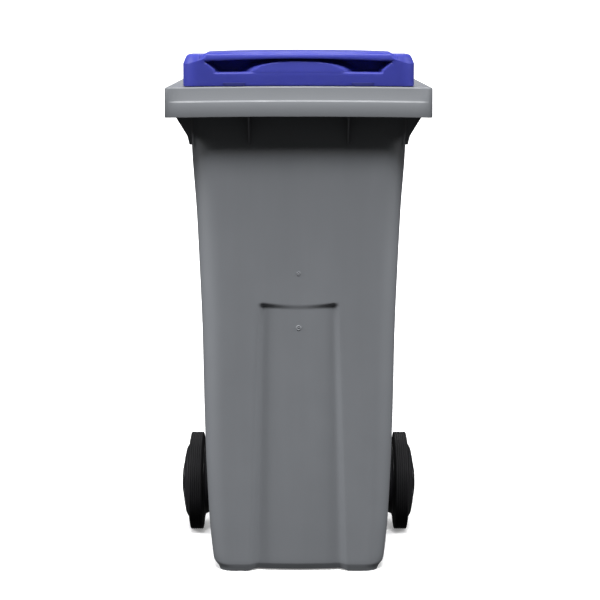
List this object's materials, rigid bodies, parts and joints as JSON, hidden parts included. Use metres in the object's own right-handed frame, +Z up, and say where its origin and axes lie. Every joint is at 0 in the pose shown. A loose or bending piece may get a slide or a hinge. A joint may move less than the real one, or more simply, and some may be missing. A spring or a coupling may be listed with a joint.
{
  "type": "wheelie bin",
  "caption": "Tall tapered waste bin on a rear axle with wheels, with a comb collar, a rear handle bar and a domed lid hinged at the back.",
  "frame": {"origin": "on the floor, at the middle of the bounding box's footprint", "axes": "+Z up, front faces -Y, +X to the right seen from the front"},
  "size_m": [0.48, 0.55, 0.9777],
  "materials": {
    "tub": "moulded polyethylene, grey, fine satin",
    "lid": "moulded polyethylene, blue, satin",
    "buffer": "moulded soft plastic",
    "pin": "moulded plastic, black",
    "axle": "zinc-plated steel",
    "spring": "spring steel",
    "hub": "moulded plastic, black",
    "tyre": "solid rubber, black"
  },
  "bodies": {
    "tub": {"body_tub": "tub", "hinge_pin_left": "pin", "hinge_pin_right": "pin", "axle": "axle", "axle_washer_left": "axle", "axle_washer_right": "axle"},
    "lid": {"lid": "lid", "lid_buffer_left": "buffer", "lid_buffer_right": "buffer"},
    "wheel_left": {"wheel_hub_left": "hub", "tyre_left": "tyre", "hub_cap_left": "hub", "lock_spring_left": "spring"},
    "wheel_right": {"wheel_hub_right": "hub", "tyre_right": "tyre", "hub_cap_right": "hub", "lock_spring_right": "spring"},
    "lock_left": {"lock_pin_left": "axle"},
    "lock_right": {"lock_pin_right": "axle"}
  },
  "joints": [
    {"name": "lid_hinge", "type": "hinge", "parent": "tub", "child": "lid", "pos_m": [0, 0.261, 0.928], "axis": [-1, 0, 0], "range_deg": [0, 265]},
    {"name": "wheel_left_spin", "type": "hinge", "parent": "tub", "child": "wheel_left", "pos_m": [0, 0.165, 0.1], "axis": [1, 0, 0], "continuous": true},
    {"name": "wheel_right_spin", "type": "hinge", "parent": "tub", "child": "wheel_right", "pos_m": [0, 0.165, 0.1], "axis": [1, 0, 0], "continuous": true},
    {"name": "lock_left_slide", "type": "slide", "parent": "wheel_left", "child": "lock_left", "axis": [0, 0, 1], "range_m": [0, 0.003], "stiffness_N_per_m": 300, "springref_m": -0.002, "deforming": ["lock_spring_left"]},
    {"name": "lock_right_slide", "type": "slide", "parent": "wheel_right", "child": "lock_right", "axis": [0, 0, 1], "range_m": [0, 0.003], "stiffness_N_per_m": 300, "springref_m": -0.002, "deforming": ["lock_spring_right"]}
  ]
}
